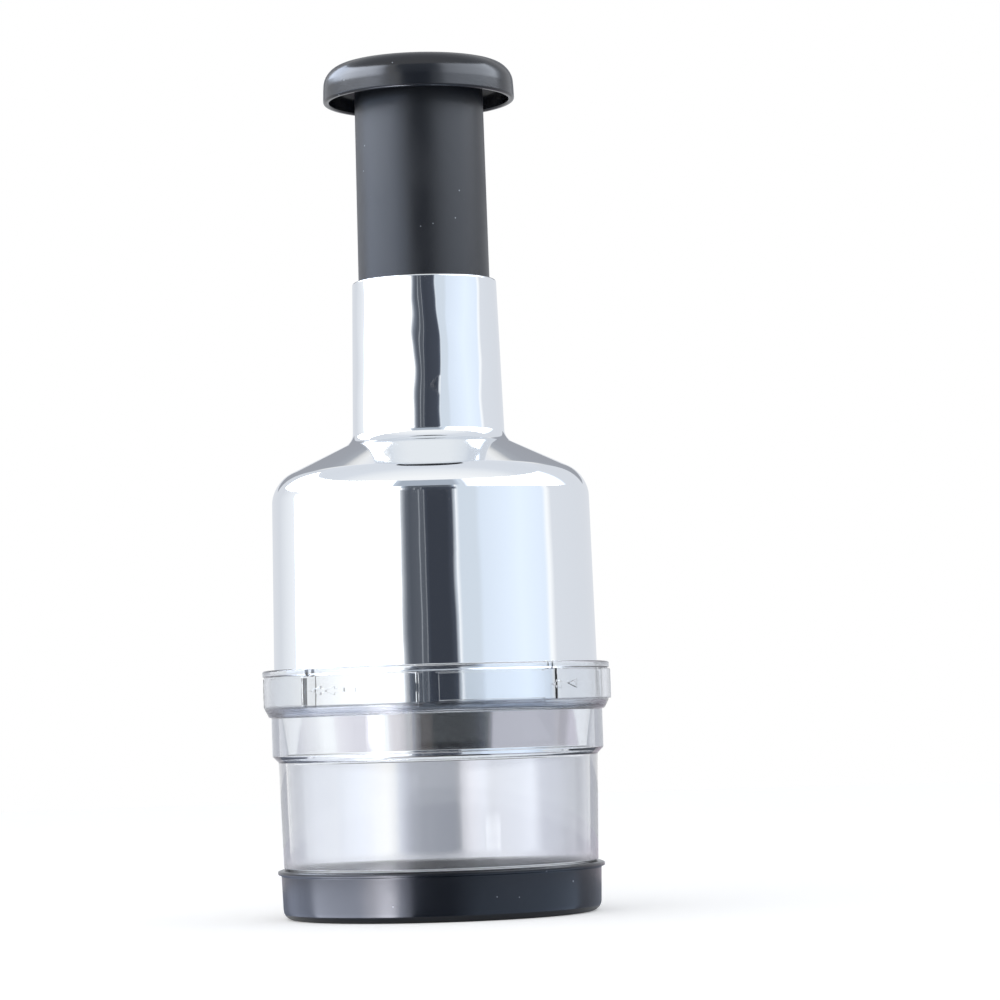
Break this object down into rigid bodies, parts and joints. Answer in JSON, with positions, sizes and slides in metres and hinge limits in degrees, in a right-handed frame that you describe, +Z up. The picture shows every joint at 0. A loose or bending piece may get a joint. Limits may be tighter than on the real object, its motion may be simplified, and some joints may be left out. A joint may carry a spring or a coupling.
{
  "type": "vegetable chopper",
  "caption": "Hand-pressed vegetable chopper: a knob drives turning zigzag blades down into a clear cup; a spring lifts them, a bayonet opens the cup and a cap closes it.",
  "frame": {"origin": "centre of the base cap's underside, on the surface that the chopper stands on", "axes": "+Z up along the plunger's axis, -Y towards the front of the picture, +X to its right"},
  "size_m": [0.0866, 0.0866, 0.2143],
  "materials": {
    "black_plastic": "satin moulded",
    "clear_plastic": "clear polished",
    "chromed_plastic": "mirror plated",
    "white_plastic": "satin moulded",
    "steel": "brushed",
    "plated_steel": "zinc plated"
  },
  "bodies": {
    "base": {"base_cap": "black_plastic"},
    "cup": {"clear_cup": "clear_plastic"},
    "housing": {"housing_shell": "chromed_plastic", "mechanism_plate": "white_plastic", "index_nut": "white_plastic", "nut_cover": "white_plastic", "return_spring": "steel", "plate_screw_1": "plated_steel", "plate_screw_2": "plated_steel", "plate_screw_3": "plated_steel", "cover_screw_1": "plated_steel", "cover_screw_2": "plated_steel"},
    "plunger": {"plunger_tube": "black_plastic", "knob_cap": "black_plastic"},
    "blades": {"blade_shaft": "white_plastic", "blade_carrier": "white_plastic", "blade_1": "steel", "blade_2": "steel", "blade_3": "steel", "carrier_washer": "plated_steel", "carrier_screw": "plated_steel", "shaft_washer": "plated_steel", "shaft_screw": "plated_steel"}
  },
  "joints": [
    {"name": "cap_pull", "type": "slide", "parent": "base", "child": "cup", "axis": [0, 0, 1], "range_m": [0, 0.045]},
    {"name": "cup_twist", "type": "hinge", "parent": "cup", "child": "housing", "pos_m": [0, 0, 0.055], "axis": [0, 0, 1], "range_deg": [0, 43]},
    {"name": "plunger_press", "type": "slide", "parent": "housing", "child": "plunger", "axis": [0, 0, -1], "range_m": [0, 0.038], "stiffness_N_per_m": 300, "springref_m": -0.02, "deforming": ["return_spring"]},
    {"name": "blade_turn", "type": "hinge", "parent": "plunger", "child": "blades", "pos_m": [0, 0, 0.2], "axis": [0, 0, 1], "range_deg": [0, 45]}
  ],
  "couplings": [
    {"joint": "blade_turn", "follows": "plunger_press", "rad_per_m": 20.668}
  ]
}
